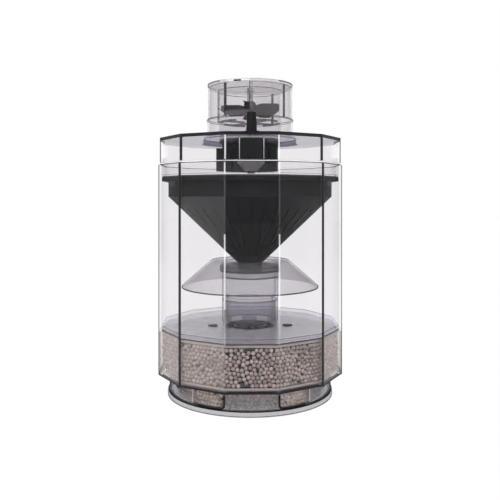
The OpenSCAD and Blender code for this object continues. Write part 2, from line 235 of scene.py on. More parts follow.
def add_depth_tint(tree, steepness, tint, depth):
    """The tint of a wall, going over to a deeper one where it is seen edge on."""
    mix = tree.nodes.new("ShaderNodeMix")
    mix.data_type = "RGBA"
    mix.inputs["A"].default_value = (*tint, 1)
    mix.inputs["B"].default_value = (*depth, 1)
    tree.links.new(steepness, mix.inputs["Factor"])
    return mix.outputs["Result"]


def add_height_fade(tree, haze, low, high, high_haze):
    """A haze that changes evenly between two heights of the part."""
    coords = tree.nodes.new("ShaderNodeTexCoord")
    split = tree.nodes.new("ShaderNodeSeparateXYZ")
    tree.links.new(coords.outputs["Object"], split.inputs[0])
    by_height = tree.nodes.new("ShaderNodeMapRange")
    by_height.inputs["From Min"].default_value = low
    by_height.inputs["From Max"].default_value = high
    by_height.inputs["To Min"].default_value = haze
    by_height.inputs["To Max"].default_value = high_haze
    tree.links.new(split.outputs["Z"], by_height.inputs["Value"])
    return by_height.outputs["Result"]


def clear_plastic(name, tint, film, haze, rough=0.03, gloss=1.0, ripple=0.03, fade=None, depth=None):
    """Clear moulding: passes tinted light, mirrors at steep angles, and carries a thin haze.

    fade is (low height, high height, haze at the high one), for a haze that thins upwards.
    depth is the tint of a wall seen edge on, where the light crosses more of it.
    """
    mat, tree, shader = new_tree(name)
    cloud = add_noise(tree, 40, 3, (1, 1, 0.3))
    tree.links.new(add_colours(tree, cloud, [c * 0.94 for c in film], film), shader.inputs["Base Color"])
    shader.inputs["Roughness"].default_value = 0.35
    through = tree.nodes.new("ShaderNodeBsdfTransparent")
    through.inputs["Color"].default_value = (*tint, 1)
    mirror = tree.nodes.new("ShaderNodeBsdfGlossy")
    mirror.inputs["Color"].default_value = (0.95, 0.95, 0.97, 1)
    tree.links.new(add_range(tree, cloud, rough * 0.7, rough * 1.5), mirror.inputs["Roughness"])
    add_bump(tree, mirror, cloud, ripple, 0.0004)
    facing = tree.nodes.new("ShaderNodeLayerWeight")
    facing.inputs["Blend"].default_value = 0.5
    steep = tree.nodes.new("ShaderNodeMath")
    steep.operation = "POWER"
    steep.inputs[1].default_value = 5
    tree.links.new(facing.outputs["Facing"], steep.inputs[0])
    if depth:
        deeper = add_depth_tint(tree, steep.outputs[0], tint, depth)
        tree.links.new(deeper, through.inputs["Color"])
    wall = tree.nodes.new("ShaderNodeMixShader")
    tree.links.new(add_range(tree, steep.outputs[0], 0.04 * gloss, gloss), wall.inputs["Fac"])
    tree.links.new(through.outputs[0], wall.inputs[1])
    tree.links.new(mirror.outputs[0], wall.inputs[2])
    mix = tree.nodes.new("ShaderNodeMixShader")
    mix.inputs["Fac"].default_value = haze
    if fade:
        tree.links.new(add_height_fade(tree, haze, *fade), mix.inputs["Fac"])
    tree.links.new(wall.outputs[0], mix.inputs[1])
    tree.links.new(shader.outputs[0], mix.inputs[2])
    tree.links.new(mix.outputs[0], tree.nodes["Material Output"].inputs["Surface"])
    return mat


def fired_clay(name, dark=(0.23, 0.182, 0.162), light=(0.45, 0.377, 0.343)):
    """Unglazed ceramic balls, each with its own shade, speckled and slightly pitted."""
    mat, tree, shader = new_tree(name)
    island = tree.nodes.new("ShaderNodeNewGeometry")
    shade = add_colours(tree, island.outputs["Random Per Island"], dark, light, 0.0, 1.0)
    speck = add_noise(tree, 2500, 4)
    mix = tree.nodes.new("ShaderNodeMix")
    mix.data_type = "RGBA"
    mix.blend_type = "MULTIPLY"
    mix.inputs["Factor"].default_value = 0.35
    tree.links.new(shade, mix.inputs["A"])
    tree.links.new(add_colours(tree, speck, (0.55, 0.5, 0.46), (1, 1, 1), 0.35, 0.6), mix.inputs["B"])
    tree.links.new(mix.outputs["Result"], shader.inputs["Base Color"])
    tree.links.new(add_range(tree, speck, 0.62, 0.85), shader.inputs["Roughness"])
    add_bump(tree, shader, speck, 0.4, 0.0001)
    return mat


def metal(name, dark, light, rough, grain, stretch):
    mat, tree, shader = new_tree(name)
    lines = add_noise(tree, grain, 5, stretch)
    tree.links.new(add_colours(tree, lines, dark, light), shader.inputs["Base Color"])
    tree.links.new(add_range(tree, lines, rough * 0.7, rough * 1.4), shader.inputs["Roughness"])
    shader.inputs["Metallic"].default_value = 1
    add_bump(tree, shader, lines, 0.2, 0.00005)
    return mat


MATERIALS = {
    "clear_plastic": clear_plastic(
        "clear_moulding", (0.965, 0.96, 0.968), (0.45, 0.44, 0.47), 0.01, 0.03, 0.45),
    "smoke_plastic": clear_plastic(
        "smoke_moulding", (0.94, 0.93, 0.95), (0.34, 0.33, 0.37), 0.035, 0.03, 0.4),
    "dark_smoke_plastic": clear_plastic(
        "dark_smoke_moulding", (0.45, 0.43, 0.50), (0.03, 0.025, 0.04), 0.4),
    "black_plastic": solid_plastic(
        "black_moulding", (0.002, 0.0025, 0.0026), (0.0055, 0.0068, 0.007), 0.5, 500, 0.06, 0.18),
    "grey_plastic": solid_plastic(
        "impeller_moulding", (0.005, 0.0045, 0.005), (0.010, 0.009, 0.010), 0.6, 500, 0.06, 0.12),
    "black_rubber": solid_plastic(
        "black_rubber", (0.003, 0.003, 0.0035), (0.007, 0.007, 0.008), 0.6, 700, 0.1, 0.2),
    "black_liner": solid_plastic(
        "black_liner", (0.001, 0.001, 0.001), (0.004, 0.004, 0.004), 0.9, 2600, 0.6),
    "grey_rubber": solid_plastic("grey_silicone", (0.03, 0.03, 0.033), (0.05, 0.05, 0.054), 0.5, 700, 0.1),
    "violet_rubber": solid_plastic("violet_seal", (0.04, 0.025, 0.07), (0.07, 0.05, 0.11), 0.5, 700, 0.1),
    "ceramic_ball": fired_clay("fired_clay"),
    "filter_foam": solid_plastic("filter_foam", (0.02, 0.022, 0.025), (0.07, 0.075, 0.08), 0.9, 1600, 0.9),
    "stainless": metal("turned_steel", (0.5, 0.5, 0.52), (0.72, 0.72, 0.74), 0.3, 900, (1, 1, 6)),
    "copper_wire": metal("copper_winding", (0.45, 0.2, 0.08), (0.75, 0.38, 0.18), 0.35, 300, (1, 1, 14)),
    "bush_ceramic": solid_plastic("ground_ceramic", (0.7, 0.68, 0.64), (0.82, 0.8, 0.77), 0.3, 700, 0.05),
    "magnet": solid_plastic("bonded_magnet", (0.02, 0.02, 0.022), (0.05, 0.05, 0.054), 0.5, 700, 0.2),
}
# Looks for edges and side facets. light, soft and faint are painted highlights on corners and edges; dark,
# grey and rim are painted shade there.
EDGES = {
    "light": clear_plastic("painted_glint_edge", (0.97, 0.97, 0.98), (0.97, 0.96, 0.98), 0.5, 0.2, 0.5),
    "soft": clear_plastic("soft_painted_glint_edge", (0.97, 0.97, 0.98), (0.92, 0.91, 0.93), 0.2, 0.2, 0.5),
    "faint": clear_plastic("faint_painted_glint_edge", (0.90, 0.89, 0.91), (0.45, 0.44, 0.46), 0.10, 0.1, 0.5),
    "dark": clear_plastic("painted_shade_edge", (0.05, 0.04, 0.06), (0.006, 0.005, 0.008), 0.8, 0.3, 0.3),
    "grey": clear_plastic("grey_painted_shade_edge", (0.62, 0.60, 0.63), (0.08, 0.075, 0.09), 0.3, 0.3, 0.3),
    "rim": clear_plastic("silhouette_painted_shade", (0.42, 0.40, 0.44), (0.03, 0.028, 0.035), 0.6, 0.3, 0.1),
    # Painted reflections of the softboxes, laid as a light haze on side facets: strong, mid and weak.
    "painted_reflection_strong": clear_plastic("strong_reflection_side", (0.97, 0.965, 0.97), (0.98, 0.91, 0.89), 0.17, 0.1, 0.15),
    "painted_reflection_mid": clear_plastic("mid_reflection_side", (0.965, 0.96, 0.965), (0.80, 0.72, 0.70), 0.10, 0.1, 0.4),
    "bedside": clear_plastic("bed_side", (0.97, 0.96, 0.955), (0.56, 0.48, 0.45), 0.45, 0.1, 0.1),
    "painted_reflection_weak": clear_plastic("weak_reflection_side", (0.96, 0.955, 0.96), (0.75, 0.73, 0.76), 0.028, 0.1, 0.3),
    "side": clear_plastic("side_moulding", (0.965, 0.96, 0.968), (0.5, 0.49, 0.5), 0.012, 0.05, 0.15),
}
# painted shade: a dark copy of the ball clay for the inner layer, for the shade between deep balls
CLAY_PAINTED_SHADE = fired_clay("clay_painted_shade", (0.035, 0.028, 0.025), (0.09, 0.075, 0.068))
# painted light: a much lighter copy of the ball clay for the base balls, making up for the light the base
# lacks
BASE_CLAY_PAINTED_LIGHT = fired_clay("base_clay_painted_light", (0.75, 0.64, 0.58), (0.98, 0.9, 0.84))
BED_SHADE = solid_plastic("bed_shade", (0.012, 0.009, 0.008), (0.03, 0.024, 0.02), 0.95, 900, 0.5)
LOOKS = {
    "settling_disc": clear_plastic(
        "frosted_smoke", (0.80, 0.79, 0.82), (0.335, 0.317, 0.352), 0.5, 0.25, 0.5),
    "motor_bracket": clear_plastic(
        "bracket_smoke", (0.55, 0.53, 0.58), (0.05, 0.045, 0.06), 0.35, 0.1, 0.5),
    "base_ring": clear_plastic("base_smoke", (0.92, 0.91, 0.93), (0.42, 0.41, 0.43), 0.22, 0.1, 0.4),
    "inlet_screen": clear_plastic("screen_moulding", (0.97, 0.965, 0.97), (0.5, 0.49, 0.5), 0.02, 0.1, 0.3),
    "base_rim": clear_plastic("rim_smoke", (0.86, 0.85, 0.87), (0.42, 0.41, 0.43), 0.2, 0.2, 0.6),
    "umbrella_baffle": clear_plastic(
        "umbrella_smoke", (0.905, 0.895, 0.908), (0.42, 0.41, 0.43), 0.13, 0.1, 0.3,
        fade=(0.073, 0.092, 0.05), depth=(0.6, 0.58, 0.61)),
    "draw_tube": clear_plastic(
        "tube_smoke", (0.935, 0.928, 0.938), (0.34, 0.33, 0.36), 0.04, 0.03, 0.2,
        depth=(0.35, 0.33, 0.37)),
    "lid_plate": clear_plastic("lid_smoke", (0.90, 0.89, 0.91), (0.42, 0.41, 0.44), 0.06, 0.05, 0.25),
    "lid_skirt": clear_plastic("skirt_moulding", (0.975, 0.97, 0.975), (0.6, 0.59, 0.62), 0.02, 0.05, 0.3),
    "outlet_cup": clear_plastic(
        "cup_moulding", (0.96, 0.952, 0.957), (0.46, 0.44, 0.45), 0.08, 0.03, 0.4,
        depth=(0.74, 0.72, 0.74)),
    "propeller_duct": clear_plastic(
        "duct_moulding", (0.965, 0.96, 0.968), (0.4, 0.39, 0.42), 0.02, 0.03, 0.3),
    "outlet_collar": clear_plastic(
        "collar_moulding", (0.94, 0.93, 0.945), (0.42, 0.41, 0.44), 0.05, 0.03, 0.3),
    "intake_nozzle": clear_plastic(
        "nozzle_moulding", (0.93, 0.925, 0.935), (0.85, 0.83, 0.85), 0.42, 0.1, 0.8),
    "riser": clear_plastic(
        "riser_smoke", (0.88, 0.872, 0.892), (0.20, 0.19, 0.22), 0.06, 0.05, 0.15,
        depth=(0.3, 0.28, 0.32)),
    "collar_clips": clear_plastic("clip_violet", (0.62, 0.59, 0.68), (0.07, 0.06, 0.10), 0.12, 0.2, 0.3),
    "cup_bearing": clear_plastic("bearing_smoke", (0.80, 0.79, 0.81), (0.3, 0.29, 0.31), 0.3, 0.2, 0.3),
    "duct_grille": clear_plastic(
        "duct_grille_smoke", (0.66, 0.65, 0.67), (0.10, 0.10, 0.11), 0.3, 0.2, 0.3),
    "tube_collar": clear_plastic("collar_smoke", (0.66, 0.64, 0.68), (0.08, 0.075, 0.09), 0.25, 0.1, 0.3),
    "disc_grille": solid_plastic(
        "grille_moulding", (0.012, 0.011, 0.014), (0.022, 0.02, 0.026), 0.5, 500, 0.06),
}


def dress_cad_nodes():
    for part in frame["record"]["subparts"]:
        mesh = nodes[part["node"]].data
        mesh.materials.clear()
        mesh.materials.append(LOOKS.get(part["node"], MATERIALS[part["material_slot"]]))


# ---------------------------------------------------------------- mesh helpers


def mesh_piece(name, bm, body, slot, smooth=True):
    """Turns a bmesh into a piece of the part, riding on a CAD body."""
    bmesh.ops.recalc_face_normals(bm, faces=bm.faces)
    mesh = bpy.data.meshes.new(name)
    bm.to_mesh(mesh)
    bm.free()
    if smooth:
        mesh.shade_smooth()
    mesh.materials.append(MATERIALS[slot])
    obj = bpy.data.objects.new(name, mesh)
    bpy.context.scene.collection.objects.link(obj)
    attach(obj, body)
    return obj


def paint(pieces, material):
    """Gives pieces one material in place of their own."""
    for piece in pieces:
        piece.data.materials.clear()
        piece.data.materials.append(material)


def side_outline(reach, width_at, rounding):
    """Points round a twelve sided outline, with two extra points beside each rounded corner.

    reach is the distance to a flat side. Every corner gives five points: the start of its
    zone, three on the rounded corner, and the end of its zone. width_at(k) is half the
    width of the zone of corner k.
    """
    points = []
    corner_r = reach / FLAT
    for k in range(SIDES):
        angle = (k + 0.5) * 2 * math.pi / SIDES
        out = Vector((math.cos(angle), math.sin(angle)))
        before = angle - math.pi / 2 - math.pi / SIDES
        after = angle + math.pi / 2 + math.pi / SIDES
        to_before = Vector((math.cos(before), math.sin(before)))
        to_after = Vector((math.cos(after), math.sin(after)))
        corner = out * corner_r
        points.append(corner + to_before * width_at(k))
        points.append(corner + to_before * rounding)
        points.append(corner - out * rounding * 0.13)
        points.append(corner + to_after * rounding)
        points.append(corner + to_after * width_at(k))
    return points


def side_wall(name, body, slot, reach, wall, levels, width_at, pick):
    """A twelve sided wall with rounded corners, in one closed mesh.

    levels are the heights of its rings. pick(corner, side, band) gives the material key of
    a face: corner is the corner's index, or None on a flat side, side is how many degrees
    that side is turned from the front, and band is the level gap. Corner looks go on the
    outer face only.
    """
    bm = bmesh.new()
    outer = side_outline(reach, width_at, 0.4 * MM)
    inner = side_outline(reach - wall, width_at, 0.25 * MM)
    count = len(outer)
    rings_out = [[bm.verts.new((p.x, p.y, z)) for p in outer] for z in levels]
    rings_in = [[bm.verts.new((p.x, p.y, z)) for p in inner] for z in levels]
    keys = [slot, *EDGES]
    for i in range(count):
        j = (i + 1) % count
        corner = None if i % 5 == 4 else i // 5
        turn = ((i // 5 + 1) * 30 + 90 + 180) % 360 - 180
        side = turn if corner is None else None
        for band in range(len(levels) - 1):
            key = pick(corner, side, band) or slot
            for ring in (rings_out, rings_in):
                face = bm.faces.new((ring[band][i], ring[band][j], ring[band + 1][j], ring[band + 1][i]))
                if ring is rings_out or corner is None:
                    face.material_index = keys.index(key)
        for end in (0, -1):
            face = bm.faces.new((rings_out[end][i], rings_out[end][j], rings_in[end][j], rings_in[end][i]))
            face.material_index = keys.index(pick(corner, side, end) or slot)
    obj = mesh_piece(name, bm, body, slot, smooth=False)
    for key in EDGES:
        obj.data.materials.append(EDGES[key])
    return obj


def ring_points(r, z, start=0, end=360, count=144):
    """Points on a circle, closed if it goes all the way round."""
    full = end - start >= 360
    steps = count if full else count + 1
    angles = [math.radians(start + (end - start) * k / count) for k in range(steps)]
    return [Vector((r * math.cos(a), r * math.sin(a), z)) for a in angles]


def corner_points(reach, z):
    return [Vector((p.x, p.y, z)) for p in side_outline(reach, lambda k: 1.5 * MM, 0.4 * MM)]


def front_points(reach, z):
    """The front part of the twelve sided outline, as an open line."""
    return [p for p in corner_points(reach, z) if p.y < -0.1 * reach]


def upright(angle, r, heights):
    """An upright line at one angle round the axis."""
    a = math.radians(angle)
    foot = Vector((math.cos(a), math.sin(a), 0)) * r
    return [foot + Vector((0, 0, z)) for z in heights]


def line_part(points, wanted):
    """The first unbroken run of wanted points on a closed line."""
    count = len(points)
    start = next(i for i in range(count) if wanted(points[i]) and not wanted(points[i - 1]))
    run = []
    while len(run) < count and wanted(points[(start + len(run)) % count]):
        run.append(points[(start + len(run)) % count])
    return run


def trace_ring(bm, points, half, closed):
    """Sweeps a small six sided section along a line of points."""
    count = len(points)
    rings = []
    for i, point in enumerate(points):
        last = points[(i - 1) % count] if closed or i else point
        nxt = points[(i + 1) % count] if closed or i < count - 1 else point
        along = (nxt - last).normalized()
        out = Vector((point.x, point.y, 0)).normalized() or Vector((1, 0, 0))
        out = (out - along * out.dot(along)).normalized()
        side = along.cross(out)
        ring = []
        for k in range(6):
            a = math.pi / 3 * k
            ring.append(bm.verts.new(point + out * half * math.cos(a) + side * half * math.sin(a)))
        rings.append(ring)
    for i in range(count if closed else count - 1):
        a, b = rings[i], rings[(i + 1) % count]
        for k in range(6):
            bm.faces.new((a[k], a[(k + 1) % 6], b[(k + 1) % 6], b[k]))
    if not closed:
        bm.faces.new(rings[0])
        bm.faces.new(rings[-1])


def edge_lines(name, body, slot, key, lines):
    """Edge beads along moulded edges, with painted shade (dark) or painted highlight (light), as one piece.
    lines are (points, half width, closed).
    """
    bm = bmesh.new()
    for points, half, closed in lines:
        trace_ring(bm, points, half, closed)
    obj = mesh_piece(name, bm, body, slot)
    paint([obj], EDGES[key])
    return obj


def plate(name, body, slot, outer, hole, low, high, side_key=None):
    """A flat plate between two heights, with an outline, a hole, and a side look: side_key colours the
    front faces of its outer edge, and the rest of that edge takes a faint painted highlight.
    """
    bm = bmesh.new()
    keys = [slot, *EDGES]
    sheets = []
    for z in (low, high):
        loops = []
        for outline in (outer, hole):
            verts = [bm.verts.new((p.x, p.y, z)) for p in outline]
            edges = [bm.edges.new((verts[i], verts[(i + 1) % len(verts)])) for i in range(len(verts))]
            loops.append((verts, edges))
        bmesh.ops.triangle_fill(bm, edges=loops[0][1] + loops[1][1], use_beauty=True)
        sheets.append(loops)
    for side in (0, 1):
        a, b = sheets[0][side][0], sheets[1][side][0]
        for i in range(len(a)):
            j = (i + 1) % len(a)
            face = bm.faces.new((a[i], a[j], b[j], b[i]))
            if side == 0 and side_key:
                is_front = (a[i].co.y + a[j].co.y) / 2 < 5 * MM
                face.material_index = keys.index(side_key if is_front else "faint")
    obj = mesh_piece(name, bm, body, slot, smooth=False)
    for key in EDGES:
        obj.data.materials.append(EDGES[key])
    return obj


def lathe(bm, profile, count=96):
    """Turns a closed profile of (radius, height) pairs into a ring of faces."""
    rings = []
    for k in range(count):
        a = 2 * math.pi * k / count
        rings.append([bm.verts.new((r * math.cos(a), r * math.sin(a), z)) for r, z in profile])
    for k in range(count):
        a, b = rings[k], rings[(k + 1) % count]
        for i in range(len(profile)):
            j = (i + 1) % len(profile)
            bm.faces.new((a[i], b[i], b[j], a[j]))


# ---------------------------------------------------------------- ceramic balls

BALL_R = 1.42 * MM
BALL_PITCH = 2.8 * MM
PUSH_ROUNDS = 60        # how often crowded balls are pushed apart
SIDE_FILL = 0.83        # share of a wall that the balls cover
TOP_FILL = 0.8
chance = random.Random(12)


def jitter(amount):
    return chance.uniform(-amount, amount)


def packed_strip(length, height, share):
    """Ball places over a flat strip, thrown at random and then pushed apart, as (along, up)."""
    count = int(share * length * height / (math.pi * BALL_R ** 2))
    spots = [Vector((chance.uniform(0, length), chance.uniform(0, height), 0)) for _ in range(count)]
    for _ in range(PUSH_ROUNDS):
        tree = KDTree(count)
        for i, spot in enumerate(spots):
            tree.insert(spot, i)
        tree.balance()
        moved = []
        for i, spot in enumerate(spots):
            push = Vector((0, 0, 0))
            for other, j, gap in tree.find_range(spot, BALL_PITCH):
                if j != i and gap > 0:
                    push += (spot - other) / gap * (BALL_PITCH - gap) * 0.45
            spot = spot + push
            spot.x = min(max(spot.x, BALL_R), length - BALL_R)
            spot.y = min(max(spot.y, BALL_R), height - BALL_R)
            moved.append(spot)
        spots = moved
    return [(spot.x, spot.y) for spot in spots]


def bed_places(low, high, depth):
    """Ball centres against the flat sides of the barrel, at a depth behind the wall."""
    reach = high.x + 0.6 * MM - BALL_R - depth
    width = 2 * reach * math.tan(math.pi / SIDES)
    for along, up in packed_strip(width * SIDES, high.z - low.z, SIDE_FILL):
        side = int(along / width)
        turn = Matrix.Rotation(side * 2 * math.pi / SIDES, 3, "Z")
        yield turn @ Vector((reach - abs(jitter(0.6 * MM)), along - (side + 0.5) * width, low.z + up))


def top_places(high, reach):
    """Ball centres over the top of the bed."""
    for along, up in packed_strip(2 * reach, 2 * reach, TOP_FILL):
        spot = Vector((along - reach, up - reach, 0))
        if spot.length < reach:
            spot.z = high.z - BALL_R - abs(jitter(0.5 * MM))
            yield spot


def round_places(low, high, depth):
    """Ball centres against a round wall."""
    reach = high.x - BALL_R - depth
    for along, up in packed_strip(2 * math.pi * reach, high.z - low.z, SIDE_FILL):
        r = reach - abs(jitter(0.4 * MM))
        yield Vector((r * math.cos(along / reach), r * math.sin(along / reach), low.z + up))


def ball_piece(name, body, places, fineness):
    template = bmesh.new()
    bmesh.ops.create_icosphere(template, subdivisions=fineness, radius=BALL_R)
    corners = [v.co.copy() for v in template.verts]
    faces = [[v.index for v in f.verts] for f in template.faces]
    template.free()
    verts, polys = [], []
    for spot in places:
        turn = Matrix.Rotation(jitter(3), 3, Vector((jitter(1), jitter(1), 1)))
        size = chance.uniform(0.94, 1.0)
        start = len(verts)
        verts.extend(tuple(spot + turn @ c * size) for c in corners)
        polys.extend([start + i for i in f] for f in faces)
    mesh = bpy.data.meshes.new(name)
    mesh.from_pydata(verts, [], polys)
    mesh.shade_smooth()
    mesh.materials.append(MATERIALS["ceramic_ball"])
    obj = bpy.data.objects.new(name, mesh)
    bpy.context.scene.collection.objects.link(obj)
    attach(obj, body)
    return obj


def add_balls():
    """Loose balls over a dark core that paints the shade deep in the bed, in the barrel and in the base."""
    core_inset = 5 * MM
    core_hole = ring_points(2 * MM, 0, count=24)

    low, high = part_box("ceramic_media")
    outer = ball_piece("ceramic_balls_outer", "barrel", list(bed_places(low, high, 0)), 2)
    inner = ball_piece("ceramic_balls_inner", "barrel", list(bed_places(low, high, 2.2 * MM)), 1)
    top = ball_piece("ceramic_balls_top", "barrel", list(top_places(high, high.x - 6 * MM)), 1)
    core = plate("ceramic_bed_shade_core", "barrel", "ceramic_ball", corner_points(high.x - core_inset, 0),
                 core_hole, low.z + 2 * MM, high.z - 3 * MM)
    for piece in (outer, inner, top, core):
        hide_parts("ceramic_media")

    low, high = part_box("lower_media")
    base_outer = ball_piece("base_balls_outer", "base", list(round_places(low, high, 0)), 2)
    base_inner = ball_piece("base_balls_inner", "base", list(round_places(low, high, 2.6 * MM)), 1)
    base_core = plate("base_bed_shade_core", "base", "ceramic_ball", ring_points(high.x - core_inset, 0),
                      core_hole, low.z + 1 * MM, high.z - 1.5 * MM)
    for piece in (base_outer, base_inner, base_core):
        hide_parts("lower_media")

    paint([inner], CLAY_PAINTED_SHADE)
    paint([base_outer, base_inner], BASE_CLAY_PAINTED_LIGHT)
    # the cores take painted shade, for the dark gaps deep in the bed
    paint([core, base_core], BED_SHADE)


# ---------------------------------------------------------------- barrel

def corner_look(corner):
    """The painted light on a moulded corner, by its angle from the front: a painted highlight beside the
    front facet, then painted shade, a grey painted shade at the outline, and plain behind.
    """
    angle = (corner + 0.5) * 30 + 90
    from_front = abs((angle + 180) % 360 - 180)
    if from_front < 30:
        return "light"
    if from_front < 60:
        return "dark"
    return "rim" if from_front < 90 else None


def corner_width(corner):
    return {"light": 0.5 * MM, "dark": 1.25 * MM, "rim": 1.8 * MM, None: 0.6 * MM}[corner_look(corner)]


def add_barrel():
    """The clear barrel: side walls, floor, and what its thick corners show of the bed."""
    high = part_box("body_wall")[1]
    floor_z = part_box("media_grid")[0].z - 0.8 * MM
    reach = high.x
    # the heights where a facet's look changes: floor line, bed, disc, baffle, cone and skirt
    levels = [floor_z, floor_z + 1.3 * MM, 46 * MM, 68 * MM, 100 * MM, 114 * MM, 137 * MM,
              151 * MM, high.z - 0.5 * MM, high.z]
    floor_band, ball_band, disc_band = 0, 1, 2
    cone_bands = (2, 3, 4, 5)
    glint_bands = (3, 4, 7)
    # painted reflections of the softboxes on the facets beside the bed, by each facet's turn from the front
    ball_band_reflections = {-30: "painted_reflection_mid", 30: "painted_reflection_weak", -60: "painted_reflection_strong", 60: "painted_reflection_strong", -90: "painted_reflection_mid", 90: "painted_reflection_mid"}

    # painted light by band and facet: a dark painted shade line along the floor, a weak painted reflection
    # on the left facet over the cone, and corner highlights that are full only in the glint bands and
    # softer or fainter elsewhere
    def pick(corner, side, band):
        if band == floor_band:
            return "dark"
        if corner is None:
            turn = round(side)
            if band == ball_band:
                return ball_band_reflections.get(turn)
            if turn == -30 and band in cone_bands:
                return "painted_reflection_weak"
            return "side" if 45 < abs(turn) < 135 else None
        look = corner_look(corner)
        if look == "light" and band not in glint_bands:
            return "soft" if band == disc_band else "faint"
        return look

    barrel = side_wall("barrel_wall", "barrel", "clear_plastic", reach, 2 * MM, levels, corner_width, pick)
    floor = plate("barrel_floor", "barrel", "clear_plastic", corner_points(reach - 2 * MM, 0),
                  ring_points(51 * MM, 0), floor_z, floor_z + 2.3 * MM)
    tabs = []
    for angle in (90, 210, 330):
        tab = ring_points(53.3 * MM, floor_z - 1.5 * MM, angle - 7, angle + 7, 8)
        tabs.append((tab, 0.9 * MM, False))
    tab_piece = edge_lines("lock_tabs", "barrel", "clear_plastic", "grey", tabs)
    corner_r = (reach - 1 * MM) / FLAT
    bed_heights = [floor_z + z * MM for z in (2.9, 11.1, 20.1, 29.1)]
    strips = [(corner_points(reach - 3.0 * MM, floor_z + 2.1 * MM), 0.95 * MM, True)]
    for angle in (-165, -15):
        strips.append((upright(angle, corner_r, bed_heights), 0.9 * MM, False))
    strip_piece = edge_lines("bed_in_corners", "barrel", "clear_plastic", "bedside", strips)
    for piece in (barrel, strip_piece):
        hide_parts("body_wall")
    for piece in (floor, tab_piece):
        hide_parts("body_floor")


LID_HOLE_R = 21.6 * MM
DISC_HOLE_R = 17.7 * MM


def add_lid():
    """The lid's plate and outer wall, with painted shade on the front of the plate's edge where the thick
    plate meets the wall, and painted highlights and shade on the wall's corners.
    """
    low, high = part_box("lid_plate")
    wall_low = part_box("lid_wall")[0].z
    reach = high.x

    def pick(corner, side, band):
        if corner is None:
            return "side" if 20 < abs(side) < 160 else None
        return corner_look(corner)

    wall = side_wall("lid_outer_wall", "lid", "clear_plastic", reach, 2 * MM, [wall_low, low.z],
                     lambda k: corner_width(k) * 1.15, pick)
    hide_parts("lid_wall")
    top = plate("lid_top_plate", "lid", "clear_plastic", corner_points(reach, 0),
                ring_points(LID_HOLE_R, 0), low.z, high.z, "dark")
    top.data.materials[0] = LOOKS["lid_plate"]
    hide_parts("lid_plate")


def add_disc():
    """The frosted disc with a clear lip round it."""
    low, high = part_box("settling_disc")
    top = high.z - 2.7 * MM
    reach = high.x
    sheet = plate("disc_sheet", "disc", "smoke_plastic", corner_points(reach, 0),
                  ring_points(DISC_HOLE_R, 0), low.z, top, "bedside")
    sheet.data.materials[0] = LOOKS["settling_disc"]
    lip = side_wall("disc_lip", "disc", "smoke_plastic", reach, 1.5 * MM, [top + 0.02 * MM, high.z],
                    lambda k: 0.6 * MM, lambda corner, side, band: None)
    for piece in (sheet, lip):
        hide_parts("settling_disc")


# ---------------------------------------------------------------- moulded edge lines, with painted shade and painted highlights

WINDOW_W = 23.6 * MM        # across a base window's frame
UMBRELLA_TOP_R = 27.3 * MM

def window_frame(angle, width, z0, z1, r):
    """Points round a water window in the curved base wall, with rounded corners."""
    half = math.degrees(math.asin(width / 2 / r))
    bend = 2.4 * MM
    bend_deg = math.degrees(bend / r)
    points = []
    for sign_a, sign_z, start in ((1, -1, 270), (1, 1, 0), (-1, 1, 90), (-1, -1, 180)):
        ca = angle + sign_a * (half - bend_deg)
        cz = (z0 + bend) if sign_z < 0 else (z1 - bend)
        for k in range(5):
            t = math.radians(start + 22.5 * k)
            a = math.radians(ca + bend_deg * math.cos(t))
            points.append(Vector((r * math.cos(a), r * math.sin(a), cz + bend * math.sin(t))))
    full = []
    for i, point in enumerate(points):
        nxt = points[(i + 1) % len(points)]
        full.append(point)
        gap = (nxt - point).length
        for k in range(1, int(gap / (2 * MM))):
            mid = point.lerp(nxt, k / int(gap / (2 * MM)))
            flat = Vector((mid.x, mid.y, 0)).normalized() * r
            full.append(Vector((flat.x, flat.y, mid.z)))
    return full


def add_base_edges():
    """Window frames, with a thick painted shade on the inner side and a painted highlight on the outer one,
    and a painted shade line round the rim.
    """
    low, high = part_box("base_ring")
    r = high.x
    frames, glints = [], []
    for k in range(6):
        outline = window_frame(60 * k, WINDOW_W, low.z + 0.6 * MM, high.z - 0.8 * MM, r - 0.4 * MM)
        from_front = (60 * k - 270 + 180) % 360 - 180
        inward = -1 if from_front > 0 else 1
        half = math.asin(WINDOW_W / 2 / r)

        def across(p):
            turn = math.atan2(p.y, p.x) - math.radians(60 * k)
            return inward * ((turn + math.pi) % (2 * math.pi) - math.pi) / half

        shaded = line_part(outline, lambda p: across(p) > -0.75 and p.z < high.z - 2.8 * MM)
        lit = line_part(outline, lambda p: across(p) < -0.9)
        frames.append((outline, 0.4 * MM, True))
        frames.append((shaded, 0.75 * MM, False))
        glints.append((lit, 0.6 * MM, False))
    frames.append((ring_points(r - 0.2 * MM, high.z - 0.25 * MM), 0.3 * MM, True))
    edge_lines("base_window_edges", "base", "smoke_plastic", "dark", frames)
    edge_lines("base_window_glints", "base", "smoke_plastic", "light", glints)
    rim_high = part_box("base_rim")[1]
    edge_lines("base_rim_edge", "base", "clear_plastic", "grey",
               [(ring_points(rim_high.x - 0.3 * MM, 0.35 * MM), 0.3 * MM, True)])


def add_disc_edges():
    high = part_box("settling_disc")[1]
    # Painted shade lines: grey round the lip and dark along the front of the sheet's edge, with a faint
    # painted highlight round the riser.
    edge_lines("disc_lip_edge", "disc", "smoke_plastic", "grey",
               [(corner_points(high.x - 0.2 * MM, high.z - 0.15 * MM), 0.2 * MM, True)])
    edge_lines("disc_sheet_edge", "disc", "smoke_plastic", "dark",
               [(front_points(high.x - 0.2 * MM, high.z - 3.2 * MM), 0.5 * MM, False)])
    riser_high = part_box("riser")[1]
    edge_lines("riser_edge", "disc", "smoke_plastic", "faint",
               [(ring_points(riser_high.x - 0.25 * MM, riser_high.z - 0.2 * MM), 0.22 * MM, True)])


